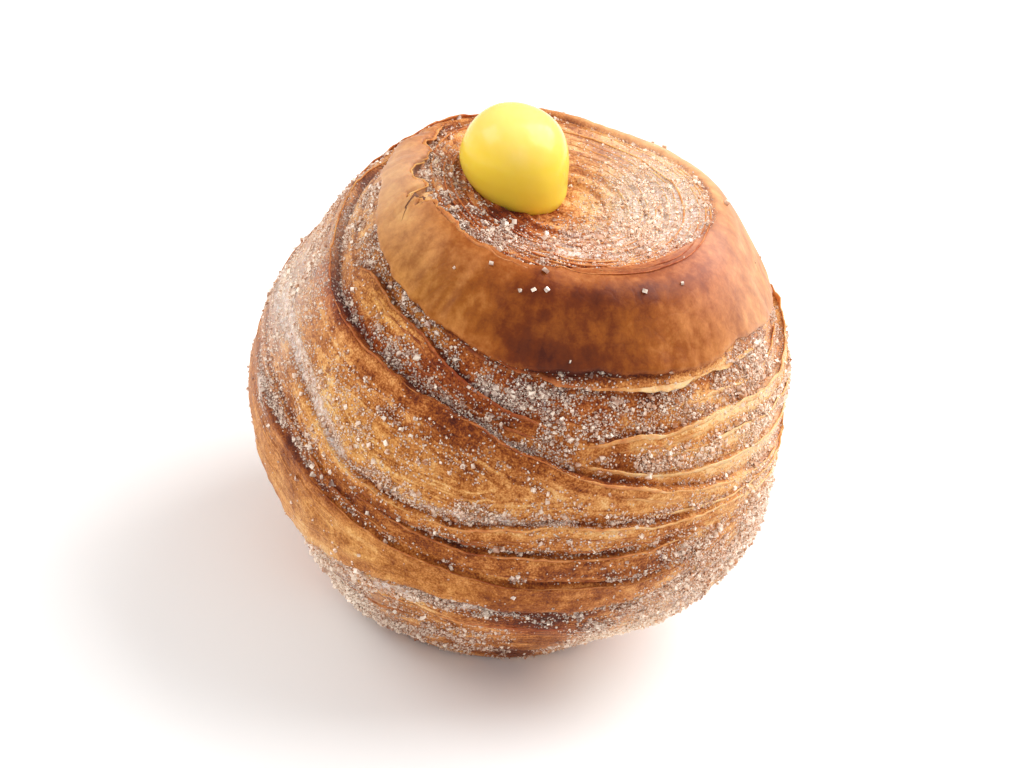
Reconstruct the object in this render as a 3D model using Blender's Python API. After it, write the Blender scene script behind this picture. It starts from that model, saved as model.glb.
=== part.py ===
"""A cruffin: a strip of laminated croissant dough coiled up and baked in a muffin tin, sugared, and
filled with custard that stands up out of the middle of its top.

Two pieces: the pastry, one closed shell turned from its outline and then pushed in and out along the
edges of the coiled strip, and the custard, which sits in a well in the crater.

Frame: +Z up, the origin in the middle of the flat foot. Angles run anticlockwise seen from above,
from +X, so 270 degrees is the front. The "run" is the way over the surface, down the outside from
the crater's rim, and so negative in the crater. Sizes are in millimetres up to the last step.
"""

import bmesh
import bpy
import numpy as np

MM = 0.001

# The pastry's outline, turned about Z: radius and height.
RIM_RADIUS = 24.0
CROWN_HEIGHT = 75.8
BELLY_RADIUS = 42.7
FOOT_RADIUS = 23.0
CORNER_REACH = 1.6
OUTLINE = (
    (0.0, CROWN_HEIGHT - 0.4),
    (18.0, CROWN_HEIGHT),
    (RIM_RADIUS, CROWN_HEIGHT),
    (26.5, 74.6),
    (29.9, 70.5),
    (33.3, 65.0),
    (36.6, 58.8),
    (40.3, 51.5),
    (41.9, 43.2),
    (BELLY_RADIUS, 35.0),
    (41.9, 26.8),
    (39.7, 20.6),
    (34.2, 14.4),
    (29.4, 8.2),
    (25.0, 3.1),
    (FOOT_RADIUS, 0.0),
    (0.0, 0.0),
)
STEPS_AROUND = 360
STEPS_DOWN = 300
SURFACE_TRIANGLES = 9800

# Where the dough swells or sinks by itself: angle, run, how far, spread in degrees and along the run.
SWELLS = (
    (76, 1, -1.8, 30, 7),
    (134, 2, -1.9, 22, 7),
    (160, 10, -1.8, 14, 7),
    (166, 26, -0.9, 18, 8),
    (206, 58, -1.3, 22, 9),
    (0, 42, -0.9, 20, 8),
    (238, 79, 1.5, 28, 10),
    (322, 66, 1.4, 16, 7),
    (190, 49, 0.7, 18, 8),
    (250, 34, 0.5, 25, 7),
    (300, 45, 0.4, 15, 6),
    (120, 40, -0.8, 40, 15),
    (60, 25, 0.7, 25, 12),
)

# The coiled strip's edges, as (angle, run, depth) along each. A lip stands open upwards over a gully;
# a hem stands over the dough below it. An angle past 360 is in the next turn. The reach is how far
# down the band the swelling of its edge is felt.
EDGES = {
    "rim": (+1, 3.0, ((-150, 0.4, 2.2), (-120, -0.5, 1.7), (-95, -0.5, 1.4), (-82, -3.0, 1.2),
                      (-60, -4.2, 1.0), (-25, -4.0, 0.9), (5, -0.7, 1.2), (30, 0.0, 1.3),
                      (90, -1.0, 1.5), (150, 1.0, 1.8), (180, -1.0, 2.2), (210, 0.4, 2.2))),
    "collar": (-1, 7.0, ((140, 1.5, 0.0), (165, 3.5, 1.4), (195, 5.7, 1.6), (225, 11.7, 1.7),
                         (265, 14.7, 1.6), (290, 13.5, 1.5), (325, 14.9, 1.4), (335, 13.7, 1.4),
                         (360, 17.0, 1.5), (420, 21.0, 1.2), (480, 24.0, 0.0))),
    "flap": (+1, 3.5, ((208, 16.0, 0.0), (216, 14.0, 1.5), (240, 16.2, 1.6), (262, 21.2, 1.2),
                       (285, 24.0, 0.0))),
    "main_lip": (+1, 6.0, ((100, 7.0, 0.0), (150, 9.0, 1.6), (190, 15.2, 2.2), (210, 21.5, 2.8),
                           (235, 23.8, 2.8), (260, 25.5, 2.4), (290, 30.9, 2.0), (330, 36.0, 1.6),
                           (365, 40.5, 1.4), (420, 45.5, 0.9), (460, 48.0, 0.0))),
    "thin_lip": (+1, 2.5, ((280, 27.0, 0.0), (296, 29.8, 1.0), (330, 31.7, 1.0), (400, 36.0, 1.2),
                           (470, 39.5, 1.0), (520, 42.0, 0.0))),
    "second_lip": (+1, 4.0, ((282, 25.5, 0.0), (296, 24.7, 1.3), (325, 23.2, 1.4), (350, 25.5, 1.6),
                             (378, 25.5, 2.2), (410, 27.0, 1.9), (470, 30.0, 1.5), (570, 33.7, 1.5),
                             (597, 41.5, 1.5), (622, 43.0, 1.5), (645, 38.5, 1.2), (690, 38.7, 1.0),
                             (730, 43.0, 0.0))),
    "low_lip": (+1, 3.5, ((232, 43.0, 0.0), (262, 46.2, 1.2), (300, 43.4, 1.0), (322, 40.7, 0.0))),
    "heel_lip": (+1, 4.0, ((60, 45.0, 0.0), (130, 42.0, 1.2), (180, 41.0, 1.5), (210, 44.7, 1.5),
                           (245, 49.5, 1.5), (275, 50.6, 1.4), (305, 48.7, 1.2), (322, 45.0, 0.0))),
    "tin_hem": (-1, 5.0, ((-48, 62.0, 0.0), (-22, 58.6, 2.0), (60, 57.0, 1.8), (120, 58.5, 2.0),
                          (180, 60.0, 2.2), (222, 62.5, 2.4), (245, 58.7, 2.2), (260, 56.0, 2.2),
                          (292, 55.4, 2.2), (310, 51.5, 2.0), (325, 45.5, 1.2), (345, 43.0, 0.0))),
}
GULLY_SHARE = 0.45
OVERHANG = 0.4
EDGE_SOFTNESS = 0.7

# The tears in the rim's thin skin: angle, run where each starts, its half width and its depth.
TEARS = ((176, 0.2, 2.2, 1.8), (194, 0.4, 1.6, 1.6), (211, 2.2, 0.8, 1.6))

# The crater: how far its floor dips, and the spiral of the strip's inner turns in it.
FLOOR_DIP = 1.8
SWIRL_PITCH = 3.1
SWIRL_DEPTH = 0.5

# The custard: its middle, its half width, and its half heights above and below the middle.
CUSTARD_CENTRE = (-8.1, 0.4, 78.3)
CUSTARD_HALF_WIDTH = 8.3
CUSTARD_RISE = 9.4
CUSTARD_DROP = 6.6
CUSTARD_LEAN = 1.0
CUSTARD_GAP = 0.35


# Sugar clumps: crystals stuck together, caught mostly in the gullies over the lips.
CLUMPS = 72
CLUMP_SIZE = (1.1, 1.7)
CLUMP_SINK = 0.3
SEED = 11


def eased(knots, at, reach):
    """The curve through the knots, read at the given places, with its corners rounded."""
    places, *tracks = np.array(knots, dtype=float).T
    shifts = np.linspace(-reach, reach, 7)
    return [np.mean([np.interp(at + shift, places, track) for shift in shifts], axis=0) for track in tracks]


def outline_runs():
    """The run at each point of the outline."""
    lengths = np.hypot(*np.diff(np.array(OUTLINE), axis=0).T)
    return np.concatenate([[0.0], np.cumsum(lengths)]) - RIM_RADIUS


def outline_at(run):
    """Radius and height of the plain outline at each run."""
    return eased(np.column_stack([outline_runs(), np.array(OUTLINE)]), run, CORNER_REACH)


def edge_relief(angle, run):
    """How far each point stands out, and how far it is drawn up or down, where the edges pass."""
    out = np.zeros_like(run)
    drawn = np.zeros_like(run)
    for side, reach, knots in EDGES.values():
        for turn in (-360.0, 0.0, 360.0):
            path, depth = eased(knots, angle + turn, 4.0)
            inside = (angle + turn >= knots[0][0]) & (angle + turn <= knots[-1][0])
            depth = np.where(inside, depth, 0.0)
            across = side * (run - path)
            lip = (1.0 - GULLY_SHARE) * np.exp(-np.abs(across) / reach)
            gully = -GULLY_SHARE * np.exp(-np.abs(across) / (0.6 * reach))
            step = np.clip(0.5 + 0.5 * across / EDGE_SOFTNESS, 0.0, 1.0)
            out += depth * (gully + (lip - gully) * step * step * (3.0 - 2.0 * step))
            drawn -= side * depth * OVERHANG * np.exp(-(((across - 0.5) / 0.9) ** 2))
    return out, drawn


def crater_relief(angle, run):
    """The dip of the crater's floor, with the groove of the strip's inner turns."""
    radius = np.clip(run + RIM_RADIUS, 0.0, None)
    inward = np.clip((19.0 - radius) / 4.0, 0.0, 1.0)
    dip = -FLOOR_DIP * np.clip(1.0 - (radius / 21.0) ** 2, 0.0, 1.0)
    turns = radius / SWIRL_PITCH + angle / 360.0
    groove = -SWIRL_DEPTH * np.abs(np.cos(np.pi * turns)) ** 6
    return dip + inward * np.clip(radius / 4.0, 0.0, 1.0) * groove


def swell_relief(angle, run):
    """The dough's own unevenness, and the tears in the rim."""
    out = np.zeros_like(run)
    for middle, level, size, spread, length in SWELLS:
        turned = (angle - middle + 180.0) % 360.0 - 180.0
        out += size * np.exp(-((turned / spread) ** 2) - ((run - level) / length) ** 2)
    for middle, level, half_width, depth in TEARS:
        aside = np.abs((angle - middle + 180.0) % 360.0 - 180.0) * np.radians(RIM_RADIUS) / half_width
        down = np.abs(run - level) / (half_width + 1.4)
        out -= depth * np.clip(1.3 - np.hypot(aside, down), 0.0, 1.0)
    return out


def custard_height(distance, lower, swell):
    """Height of the custard's surface at a distance from its axis, below or above its middle."""
    share = np.clip(distance / (CUSTARD_HALF_WIDTH + swell), 0.0, 1.0)
    if lower:
        return CUSTARD_CENTRE[2] - (CUSTARD_DROP + swell) * (1.0 - share**3.0) ** (1.0 / 3.0)
    return CUSTARD_CENTRE[2] + (CUSTARD_RISE + swell) * (1.0 - share**2.1) ** 0.5


def dough_points(angle, run):
    """The pastry's surface: the outline, moved out and along by its relief, with the custard's well."""
    out, drawn = edge_relief(angle, run)
    radius, height = outline_at(run + drawn)
    ahead_radius, ahead_height = outline_at(run + drawn + 0.5)
    behind_radius, behind_height = outline_at(run + drawn - 0.5)
    along_radius = ahead_radius - behind_radius
    along_height = ahead_height - behind_height
    length = np.hypot(along_radius, along_height)
    foot = np.clip(height / 4.0, 0.0, 1.0)
    out = (out + crater_relief(angle, run) + swell_relief(angle, run)) * foot
    radius = np.clip(radius - out * along_height / length, 0.0, None)
    height = np.clip(height + out * along_radius / length, 0.0, None)
    x = radius * np.cos(np.radians(angle))
    y = radius * np.sin(np.radians(angle))
    distance = np.hypot(x - CUSTARD_CENTRE[0], y - CUSTARD_CENTRE[1])
    well = custard_height(distance, True, CUSTARD_GAP)
    in_well = (distance < CUSTARD_HALF_WIDTH + CUSTARD_GAP) & (height > BELLY_RADIUS)
    height = np.where(in_well, np.minimum(height, well), height)
    return np.column_stack([x, y, height])


def material(name, colour, roughness):
    """A Principled material of one colour, given as linear red, green and blue."""
    made = bpy.data.materials.new(name)
    made.use_nodes = True
    shader = made.node_tree.nodes["Principled BSDF"]
    shader.inputs["Base Color"].default_value = (*colour, 1.0)
    shader.inputs["Roughness"].default_value = roughness
    shader.inputs["Metallic"].default_value = 0.0
    return made


def add_object(name, bm, made):
    """An object from the mesh, shaded smooth, with its material."""
    mesh = bpy.data.meshes.new(name)
    bm.to_mesh(mesh)
    bm.free()
    mesh.shade_smooth()
    mesh.materials.append(made)
    added = bpy.data.objects.new(name, mesh)
    bpy.context.scene.collection.objects.link(added)
    return added


def add_pastry():
    """The coiled dough, thinned to the triangles that its edges and swirls need."""
    bm = bmesh.new()
    bmesh.ops.create_uvsphere(bm, u_segments=STEPS_AROUND, v_segments=STEPS_DOWN, radius=1.0)
    place = np.array([vert.co for vert in bm.verts])
    angle = np.degrees(np.arctan2(place[:, 1], place[:, 0])) % 360.0
    share_down = np.arccos(np.clip(place[:, 2], -1.0, 1.0)) / np.pi
    run = outline_runs()[0] + share_down * np.ptp(outline_runs())
    for vert, point in zip(bm.verts, dough_points(angle, run) * MM):
        vert.co = point
    bmesh.ops.triangulate(bm, faces=bm.faces)
    triangles = len(bm.faces)
    pastry = add_object("pastry", bm, material("baked_croissant_dough", (0.52, 0.24, 0.075), 0.6))
    thin = pastry.modifiers.new("thin", "DECIMATE")
    thin.ratio = SURFACE_TRIANGLES / triangles
    return pastry


def clump_places(rng):
    """Angles and runs for the sugar clumps: three in four over a lip, the rest low on the foot."""
    lips = [knots for side, _, knots in EDGES.values() if side > 0]
    angles = []
    runs = []
    for index in range(CLUMPS):
        knots = lips[rng.integers(len(lips))]
        angle = rng.uniform(knots[0][0], knots[-1][0])
        run = eased(knots, angle, 4.0)[0] - rng.uniform(0.8, 3.0)
        if index % 4 == 0:
            run = rng.uniform(62.0, 79.0)
        angles.append(angle)
        runs.append(run)
    return np.array(angles), np.array(runs)


def fuse_sugar(pastry):
    """Join clumps of sugar, each a tumbled block sunk a little into the dough, to the pastry."""
    rng = np.random.default_rng(SEED)
    clumps = bpy.data.collections.new("sugar_clumps")
    bpy.context.scene.collection.children.link(clumps)
    for x, y, z in dough_points(*clump_places(rng)):
        size = rng.uniform(*CLUMP_SIZE)
        tumble = rng.uniform(0.0, np.pi, 3)
        if np.hypot(x - CUSTARD_CENTRE[0], y - CUSTARD_CENTRE[1]) < CUSTARD_HALF_WIDTH + 3.0:
            continue
        bm = bmesh.new()
        bmesh.ops.create_cube(bm, size=size * MM)
        inward = 1.0 - CLUMP_SINK / max(np.hypot(x, y), 1.0)
        mesh = bpy.data.meshes.new("sugar_clump")
        bm.to_mesh(mesh)
        bm.free()
        clump = bpy.data.objects.new("sugar_clump", mesh)
        clump.location = (x * inward * MM, y * inward * MM, z * MM)
        clump.rotation_euler = tumble
        clumps.objects.link(clump)
    union = pastry.modifiers.new("sugar", "BOOLEAN")
    union.operation = "UNION"
    union.operand_type = "COLLECTION"
    union.collection = clumps
    settled = pastry.evaluated_get(bpy.context.evaluated_depsgraph_get())
    pastry.data = bpy.data.meshes.new_from_object(settled)
    pastry.modifiers.clear()
    for clump in list(clumps.objects):
        bpy.data.objects.remove(clump, do_unlink=True)
    bpy.data.collections.remove(clumps)


def add_custard():
    """The dollop of custard, as tall as it is wide, flat where it lies in its well."""
    bm = bmesh.new()
    bmesh.ops.create_uvsphere(bm, u_segments=32, v_segments=20, radius=1.0)
    for vert in bm.verts:
        level = vert.co.z
        power, reach = (3.0, CUSTARD_DROP) if level < 0.0 else (2.3, CUSTARD_RISE)
        share = np.hypot(vert.co.x, vert.co.y)
        if share > 0.0:
            swell = (1.0 - abs(level) ** power) ** (1.0 / power) / share
            vert.co.x *= swell
            vert.co.y *= swell
        lean = CUSTARD_LEAN * max(level + 0.5, 0.0)
        vert.co.x = (CUSTARD_CENTRE[0] - lean + vert.co.x * CUSTARD_HALF_WIDTH) * MM
        vert.co.y = (CUSTARD_CENTRE[1] + vert.co.y * CUSTARD_HALF_WIDTH) * MM
        vert.co.z = (CUSTARD_CENTRE[2] + level * reach) * MM
    return add_object("custard", bm, material("set_custard", (0.86, 0.65, 0.08), 0.25))


for old in list(bpy.data.objects):
    bpy.data.objects.remove(old, do_unlink=True)
fuse_sugar(add_pastry())
add_custard()
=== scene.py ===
"""A cruffin, as it comes from the tray: coiled croissant dough, coarse sugar, and custard on top."""

import bmesh
import bpy
import numpy as np
from mathutils import Matrix, Vector


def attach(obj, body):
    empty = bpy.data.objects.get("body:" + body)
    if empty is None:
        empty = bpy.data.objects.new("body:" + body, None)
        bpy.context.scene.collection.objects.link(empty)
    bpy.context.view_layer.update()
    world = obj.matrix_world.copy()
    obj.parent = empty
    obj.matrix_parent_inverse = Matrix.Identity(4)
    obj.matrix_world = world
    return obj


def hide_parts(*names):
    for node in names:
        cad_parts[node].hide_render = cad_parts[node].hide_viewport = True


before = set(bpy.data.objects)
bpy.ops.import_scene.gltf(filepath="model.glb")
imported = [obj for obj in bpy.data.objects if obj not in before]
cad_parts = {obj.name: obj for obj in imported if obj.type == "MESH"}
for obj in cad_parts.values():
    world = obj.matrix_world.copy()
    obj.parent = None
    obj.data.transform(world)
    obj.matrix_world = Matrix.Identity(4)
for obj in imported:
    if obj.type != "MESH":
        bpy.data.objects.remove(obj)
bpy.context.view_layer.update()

# ---------------------------------------------------------------------------------------------------
# The studio. The cruffin stands on a white sheet under a large soft light from behind on the right,
# with weaker ones from the left and the front. The camera looks down by 35 degrees, rolled by 14.

MM = 0.001
CAMERA_TARGET = Vector((-1.4, 0.0, 37.8)) * MM
CAMERA_DISTANCE = 750.0 * MM
CAMERA_ELEVATION = np.radians(35.0)
CAMERA_ROLL = np.radians(14.0)
FOCAL_LENGTH = 165.1
NEAREST_SEEN = 10.0 * MM
# Where each light stands, how wide it is, both in millimetres, and its power in watts.
LIGHTS = {
    "soft_light_behind": ((330, 240, 480), 520, 4.6),
    "soft_light_left": ((-520, -60, 420), 420, 2.0),
    "soft_light_front": ((160, -620, 300), 500, 0.6),
}
LIT_POINT = Vector((0.0, 0.0, 40.0)) * MM
TENT_STRENGTH = 0.55
SHEET_RADIUS = 1600.0 * MM

scene = bpy.context.scene
scene.view_settings.view_transform = "Standard"


def linear(hex_colour):
    """An sRGB hex colour as linear red, green, blue and alpha."""
    channels = [int(hex_colour[i : i + 2], 16) / 255.0 for i in (1, 3, 5)]
    return [c / 12.92 if c <= 0.04045 else ((c + 0.055) / 1.055) ** 2.4 for c in channels] + [1.0]


def new_material(name):
    """An empty material, its node tree and its Principled shader."""
    made = bpy.data.materials.new(name)
    made.use_nodes = True
    return made, made.node_tree, made.node_tree.nodes["Principled BSDF"]


def set_inputs(node, inputs):
    """Gives a node's inputs their values, or links them to other nodes' outputs."""
    for name, value in inputs.items():
        if isinstance(value, bpy.types.NodeSocket):
            node.id_data.links.new(value, node.inputs[name])
        else:
            node.inputs[name].default_value = value


camera_data = bpy.data.cameras.new("camera")
camera_data.sensor_width = 36.0
camera_data.lens = FOCAL_LENGTH
camera_data.clip_start = NEAREST_SEEN
camera = bpy.data.objects.new("camera", camera_data)
scene.collection.objects.link(camera)
scene.camera = camera
outward = Vector((0.0, -np.cos(CAMERA_ELEVATION), np.sin(CAMERA_ELEVATION)))
upright = outward.to_track_quat("Z", "Y").to_matrix()
camera.matrix_world = Matrix.Translation(CAMERA_TARGET + outward * CAMERA_DISTANCE) @ (
    upright @ Matrix.Rotation(CAMERA_ROLL, 3, "Z")
).to_4x4()

for name, (place, width, power) in LIGHTS.items():
    lamp = bpy.data.lights.new(name, "AREA")
    lamp.size = width * MM
    lamp.energy = power
    light = bpy.data.objects.new(name, lamp)
    scene.collection.objects.link(light)
    light.location = Vector(place) * MM
    light.rotation_euler = (LIT_POINT - light.location).to_track_quat("-Z", "Y").to_euler()

world = bpy.data.worlds.new("white_tent")
world.use_nodes = True
background = world.node_tree.nodes["Background"]
background.inputs["Color"].default_value = (1.0, 1.0, 1.0, 1.0)
background.inputs["Strength"].default_value = TENT_STRENGTH
scene.world = world

bm = bmesh.new()
bmesh.ops.create_circle(bm, cap_ends=True, segments=96, radius=SHEET_RADIUS)
floor_mesh = bpy.data.meshes.new("floor")
bm.to_mesh(floor_mesh)
bm.free()
floor = bpy.data.objects.new("floor", floor_mesh)
scene.collection.objects.link(floor)
# Matt white paper sweep: no shine, a little off white.
paper, tree, shader = new_material("matt_white_paper")
set_inputs(shader, {"Base Color": linear("#FCFBFA"), "Roughness": 0.9, "Specular IOR Level": 0.1})
floor_mesh.materials.append(paper)

# ---------------------------------------------------------------------------------------------------
# The dough: one long strip of laminated dough, coiled up on edge and baked in a muffin tin. Above the
# tin it swells over the brim; its cut edges stand open as lips, and the outermost turn makes a smooth
# collar round a sunken crater. A "run" is the way down the outside from the crater's rim.

# The plain outline, from the top's middle to the foot's: radius and height in millimetres.
OUTLINE = (
    (0.0, 75.4), (18.0, 75.8), (24.0, 75.8), (26.5, 74.6), (29.9, 70.5), (33.3, 65.0), (36.6, 58.8),
    (40.3, 51.5), (41.9, 43.2), (42.7, 35.0), (41.9, 26.8), (39.7, 20.6), (34.2, 14.4), (29.4, 8.2),
    (25.0, 3.1), (23.0, 0.0), (0.0, 0.0),
)
RIM_RADIUS = 24.0
CORNER_REACH = 1.6

# Each edge: 1 for a lip open upwards or -1 for a hem over what is below, how far its swelling is felt
# down the band, and its way as (angle, run, depth). An angle past 360 is in the next turn.
EDGES = {
    "rim": (1, 3.0, (
        (-150, 0.4, 2.2), (-120, -0.5, 1.7), (-95, -0.5, 1.4), (-82, -3.0, 0.8), (-60, -4.2, 0.3),
        (-25, -4.0, 0.3), (5, -0.7, 0.6), (30, 0.0, 1.0), (90, -1.0, 1.5), (150, 1.0, 1.8),
        (180, -1.0, 2.2), (210, 0.4, 2.2),
    )),
    "collar": (-1, 7.0, (
        (140, 1.5, 0.0), (165, 3.5, 1.4), (195, 5.7, 1.6), (225, 11.7, 1.7), (265, 14.7, 1.4),
        (290, 13.5, 1.2), (325, 14.9, 1.2), (335, 13.7, 1.3), (360, 17.0, 1.5), (420, 21.0, 1.2),
        (480, 24.0, 0.0),
    )),
    "flap": (1, 3.5, (
        (208, 16.0, 0.0), (216, 14.0, 1.5), (240, 16.2, 1.6), (262, 21.2, 1.2), (285, 24.0, 0.0),
    )),
    "main_lip": (1, 6.0, (
        (100, 7.0, 0.0), (150, 9.0, 1.6), (190, 15.2, 2.2), (210, 21.5, 2.8), (235, 23.8, 2.8),
        (260, 25.5, 2.4), (290, 30.9, 2.0), (330, 36.0, 1.6), (365, 40.5, 1.4), (420, 45.5, 0.9),
        (460, 48.0, 0.0),
    )),
    "thin_lip": (1, 2.5, (
        (280, 27.0, 0.0), (296, 29.8, 1.0), (330, 31.7, 1.0), (400, 36.0, 1.2), (470, 39.5, 1.0),
        (520, 42.0, 0.0),
    )),
    "second_lip": (1, 4.0, (
        (282, 25.5, 0.0), (296, 24.7, 1.3), (325, 23.2, 1.4), (350, 25.5, 1.6), (378, 25.5, 2.2),
        (410, 27.0, 1.9), (470, 30.0, 1.2), (545, 32.8, 0.5), (570, 33.7, 0.5), (597, 41.5, 1.3),
        (622, 43.0, 1.5), (645, 38.5, 1.2), (690, 38.7, 1.0), (730, 43.0, 0.0),
    )),
    "low_lip": (1, 3.5, (
        (232, 43.0, 0.0), (262, 46.2, 1.2), (300, 43.4, 1.0), (322, 40.7, 0.0),
    )),
    "heel_lip": (1, 4.0, (
        (60, 45.0, 0.0), (130, 42.0, 1.0), (180, 41.0, 0.6), (210, 44.7, 0.7), (245, 49.5, 0.9),
        (275, 50.6, 0.9), (305, 48.7, 0.9), (322, 45.0, 0.0),
    )),
    "tin_hem": (-1, 5.0, (
        (-48, 62.0, 0.0), (-22, 58.6, 2.0), (60, 57.0, 1.8), (120, 58.5, 2.0), (180, 60.0, 2.0),
        (222, 62.5, 1.7), (245, 58.7, 1.6), (260, 56.0, 1.6), (292, 55.4, 1.7), (310, 51.5, 2.0),
        (325, 45.5, 1.2), (345, 43.0, 0.0),
    )),
}
# Finer leaves of dough that show between the main edges.
LEAVES = {
    "under_collar": (-1, 2.0, (
        (268, 15.2, 0.0), (285, 16.3, 1.1), (315, 16.6, 1.1), (340, 16.9, 1.0), (360, 19.8, 0.7),
        (400, 23.0, 0.0),
    )),
    "flap_leaf": (1, 1.5, (
        (238, 19.5, 0.0), (255, 22.6, 0.5), (275, 25.0, 0.4), (290, 28.0, 0.0),
    )),
    "right_leaf_a": (1, 1.5, (
        (300, 20.5, 0.0), (322, 19.8, 0.6), (345, 21.5, 0.7), (375, 22.0, 0.8), (410, 23.5, 0.0),
    )),
    "right_leaf_b": (1, 1.5, (
        (305, 27.2, 0.0), (325, 27.0, 0.5), (350, 29.0, 0.7), (385, 31.0, 0.6), (430, 33.0, 0.0),
    )),
    "right_leaf_c": (1, 1.5, (
        (300, 36.2, 0.0), (325, 37.9, 0.5), (345, 39.0, 0.5), (380, 42.0, 0.0),
    )),
    "lens": (-1, 2.0, (
        (232, 42.5, 0.0), (255, 45.0, 0.5), (290, 42.6, 0.7), (312, 40.5, 0.0),
    )),
    "band_crack": (-1, 1.2, (
        (268, 49.0, 0.0), (285, 48.4, 0.7), (300, 48.0, 0.7), (318, 45.8, 0.0),
    )),
    "left_leaf_a": (1, 2.0, (
        (150, 12.0, 0.0), (172, 15.0, 0.5), (190, 18.5, 0.6), (205, 21.0, 0.4), (218, 26.5, 0.0),
    )),
    "left_leaf_b": (1, 2.5, (
        (165, 38.0, 0.0), (180, 35.5, 0.5), (193, 33.0, 0.6), (203, 31.8, 0.6), (214, 33.2, 0.5),
        (226, 37.2, 0.4), (237, 41.5, 0.0),
    )),
    "left_leaf_c": (1, 2.0, (
        (165, 36.0, 0.0), (190, 38.5, 0.7), (215, 41.5, 0.7), (240, 46.4, 0.5), (262, 48.5, 0.0),
    )),
    "left_top_leaf": (1, 1.6, (
        (150, 5.5, 0.0), (172, 8.5, 0.7), (192, 11.0, 0.8), (206, 15.5, 0.6), (222, 18.5, 0.0),
    )),
    "back_leaf_a": (1, 2.0, (
        (20, 33.0, 0.0), (50, 35.0, 0.8), (110, 33.0, 0.9), (160, 34.0, 0.7), (185, 36.0, 0.0),
    )),
    "back_leaf_b": (1, 2.0, (
        (108, 9.0, 0.0), (122, 11.5, 0.8), (140, 13.5, 0.9), (158, 17.5, 0.6), (175, 22.0, 0.0),
    )),
    "back_leaf_c": (-1, 2.0, (
        (10, 51.0, 0.0), (50, 50.5, 0.8), (110, 51.0, 0.9), (170, 51.5, 0.0),
    )),
    "foot_leaf_a": (-1, 2.0, (
        (225, 66.0, 0.0), (245, 65.0, 0.7), (275, 62.5, 0.8), (300, 62.0, 0.0),
    )),
    "foot_leaf_b": (-1, 2.0, (
        (180, 71.0, 0.0), (215, 72.0, 0.7), (255, 70.5, 0.8), (290, 70.0, 0.0),
    )),
}
EDGE_EASE = 4.0
GULLY_SHARE = 0.45
OVERHANG = 0.4
EDGE_SOFTNESS = 0.7
LEAF_SOFTNESS = 0.45
UNEVEN_DEPTH = 0.25
RAGGED = 0.35
# The edges' raggedness is read from the noise on a circle, so that it closes round the cruffin.
WOBBLE_CENTRE = 6.0
WOBBLE_RADIUS = 8.0

# Where the dough swells or sinks by itself: angle, run, how far, spread in degrees and along the run.
SWELLS = (
    (76, 1, -1.8, 30, 7), (134, 2, -1.9, 22, 7), (160, 10, -1.8, 14, 7), (166, 26, -0.9, 18, 8),
    (206, 58, -1.3, 22, 9), (0, 42, -0.9, 20, 8), (238, 79, 1.5, 28, 10), (322, 66, 1.4, 16, 7),
    (190, 49, 0.7, 18, 8), (250, 34, 0.5, 25, 7), (300, 45, 0.4, 15, 6), (120, 40, -0.8, 40, 15),
    (60, 25, 0.7, 25, 12),
)
# The tears in the rim's thin skin: the angle of each, its half width in degrees and how far it goes
# back; then how ragged their sides are, in degrees, and how crumbled the whole rim is.
TEARS = ((173.0, 3.0, 0.8), (193.5, 6.5, 1.6), (209.0, 3.0, 2.6))
TEAR_RAGGED = 2.6
RIM_CRUMBLE = 0.25

# The crater's dip, the coarse swirl of the inner turns, and the fine coils, a leaf's breadth apart.
FLOOR_DIP = 1.8
SWIRL_PITCH = 3.1
SWIRL_DEPTH = 0.5
RING_PITCH = 1.08
RING_START = 9.5
RING_DEPTH = 0.26
RING_UNEVEN = 0.4

# The dough's fine relief: how high, how wide across the leaves, how long, and its place in the noise.
FINE_LEAVES = ((0.16, 0.9, 9.0, 0.0), (0.10, 2.2, 12.0, 7.0))
# Its lumps and blisters: how high, how wide, and their place in the noise.
LUMPS = ((0.30, 9.0, 9.0), (0.14, 4.0, 30.0))
BLISTERS = ((0.09, 1.3, 90.0),)
SMOOTHEST = 0.85
HEEL_SMOOTH = 0.3
# Over how many degrees a smooth zone fades out at an edge's open end.
END_FADE = 28.0

CUSTARD_CENTRE = (-8.1, 0.4, 78.3)
CUSTARD_HALF_WIDTH = 8.3
CUSTARD_DROP = 6.6
CUSTARD_GAP = 0.12
WELL_SHIFT = 0.1
WELL_HALF_WIDTH = 7.3
LOWEST_WELL = 60.0

NOISE_CELLS = 48
noise_table = np.random.default_rng(5).uniform(-1.0, 1.0, (NOISE_CELLS,) * 3)


def rough(x, y, z):
    """Smooth noise between -1 and 1 with one lump to each unit of length."""
    places = np.stack(np.broadcast_arrays(x, y, z)).astype(float)
    cell = np.floor(places).astype(int)
    near = places - cell
    near = near * near * (3.0 - 2.0 * near)
    total = 0.0
    for corner in np.ndindex(2, 2, 2):
        weight = 1.0
        for axis in range(3):
            weight = weight * (near[axis] if corner[axis] else 1.0 - near[axis])
        index = [(cell[axis] + corner[axis]) % NOISE_CELLS for axis in range(3)]
        total = total + weight * noise_table[index[0], index[1], index[2]]
    return total


def bell(aside, width):
    """1 in the middle, falling off softly over the width."""
    return np.exp(-((aside / width) ** 2))


def held(value):
    """The value kept between 0 and 1."""
    return np.clip(value, 0.0, 1.0)


def on_circle(angle, radius, centre=0.0):
    """The x and y at each angle in degrees on a circle."""
    return centre + radius * np.cos(np.radians(angle)), centre + radius * np.sin(np.radians(angle))


def turned_from(angle, middle):
    """How many degrees each angle is from the middle one, between -180 and 180."""
    return (angle - middle + 180.0) % 360.0 - 180.0


def patches_at(patches, angle, run):
    """The sum of soft patches, each an angle, a run, how much, and its two spreads."""
    total = np.zeros_like(run)
    for middle, level, size, spread, length in patches:
        aside = turned_from(angle, middle) / spread
        total += size * np.exp(-(aside**2) - ((run - level) / length) ** 2)
    return total


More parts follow.
